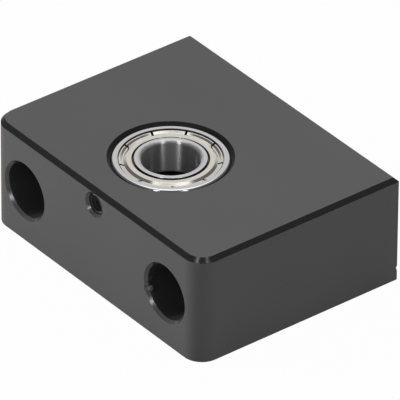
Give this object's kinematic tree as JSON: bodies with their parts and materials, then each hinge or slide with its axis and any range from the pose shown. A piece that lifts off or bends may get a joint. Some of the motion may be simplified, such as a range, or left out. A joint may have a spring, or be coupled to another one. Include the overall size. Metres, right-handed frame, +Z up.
{
  "type": "screw mount bracket",
  "caption": "Rectangular mount block with a shielded ball bearing let into its top, which carries the end of a lead screw; frame bolts sit in deep bores in its front.",
  "frame": {"origin": "middle of the block's underside", "axes": "+X along the block's width and the line of its bolts, +Y out of the back face that is bolted to the frame, +Z up along the screw's axis, out of the face that shows the bearing"},
  "size_m": [0.045, 0.0338, 0.0164],
  "materials": {
    "block": "black anodised, fine satin",
    "set_screw": "black oxide",
    "rings": "ground bearing steel",
    "shields": "pressed bright sheet",
    "cage": "pressed sheet",
    "balls": "polished"
  },
  "bodies": {
    "housing": {"bearing_block": "block", "bearing_set_screw": "set_screw", "outer_ring": "rings", "upper_shield": "shields", "lower_shield": "shields"},
    "inner_ring": {"inner_ring": "rings"},
    "cage": {"upper_cage_half": "cage", "lower_cage_half": "cage"},
    "ball_1": {"ball_1": "balls"},
    "ball_2": {"ball_2": "balls"},
    "ball_3": {"ball_3": "balls"},
    "ball_4": {"ball_4": "balls"},
    "ball_5": {"ball_5": "balls"},
    "ball_6": {"ball_6": "balls"},
    "ball_7": {"ball_7": "balls"},
    "ball_8": {"ball_8": "balls"},
    "ball_9": {"ball_9": "balls"}
  },
  "joints": [
    {"name": "inner_spin", "type": "hinge", "parent": "housing", "child": "inner_ring", "pos_m": [0, -0.004, 0.0137], "axis": [0, 0, 1], "continuous": true},
    {"name": "cage_spin", "type": "hinge", "parent": "housing", "child": "cage", "pos_m": [0, -0.004, 0.0137], "axis": [0, 0, 1], "continuous": true},
    {"name": "ball_1_spin", "type": "hinge", "parent": "cage", "child": "ball_1", "pos_m": [0.006, -0.004, 0.0137], "axis": [0, 0, 1], "continuous": true},
    {"name": "ball_2_spin", "type": "hinge", "parent": "cage", "child": "ball_2", "pos_m": [0.0046, -0.00014, 0.0137], "axis": [0, 0, 1], "continuous": true},
    {"name": "ball_3_spin", "type": "hinge", "parent": "cage", "child": "ball_3", "pos_m": [0.00104, 0.00191, 0.0137], "axis": [0, 0, 1], "continuous": true},
    {"name": "ball_4_spin", "type": "hinge", "parent": "cage", "child": "ball_4", "pos_m": [-0.003, 0.0012, 0.0137], "axis": [0, 0, 1], "continuous": true},
    {"name": "ball_5_spin", "type": "hinge", "parent": "cage", "child": "ball_5", "pos_m": [-0.00564, -0.00195, 0.0137], "axis": [0, 0, 1], "continuous": true},
    {"name": "ball_6_spin", "type": "hinge", "parent": "cage", "child": "ball_6", "pos_m": [-0.00564, -0.00605, 0.0137], "axis": [0, 0, 1], "continuous": true},
    {"name": "ball_7_spin", "type": "hinge", "parent": "cage", "child": "ball_7", "pos_m": [-0.003, -0.0092, 0.0137], "axis": [0, 0, 1], "continuous": true},
    {"name": "ball_8_spin", "type": "hinge", "parent": "cage", "child": "ball_8", "pos_m": [0.00104, -0.00991, 0.0137], "axis": [0, 0, 1], "continuous": true},
    {"name": "ball_9_spin", "type": "hinge", "parent": "cage", "child": "ball_9", "pos_m": [0.0046, -0.00786, 0.0137], "axis": [0, 0, 1], "continuous": true}
  ],
  "couplings": [
    {"joint": "cage_spin", "follows": "inner_spin", "ratio": 0.40079},
    {"joint": "ball_1_spin", "follows": "inner_spin", "ratio": -2.4207},
    {"joint": "ball_2_spin", "follows": "inner_spin", "ratio": -2.4207},
    {"joint": "ball_3_spin", "follows": "inner_spin", "ratio": -2.4207},
    {"joint": "ball_4_spin", "follows": "inner_spin", "ratio": -2.4207},
    {"joint": "ball_5_spin", "follows": "inner_spin", "ratio": -2.4207},
    {"joint": "ball_6_spin", "follows": "inner_spin", "ratio": -2.4207},
    {"joint": "ball_7_spin", "follows": "inner_spin", "ratio": -2.4207},
    {"joint": "ball_8_spin", "follows": "inner_spin", "ratio": -2.4207},
    {"joint": "ball_9_spin", "follows": "inner_spin", "ratio": -2.4207}
  ]
}
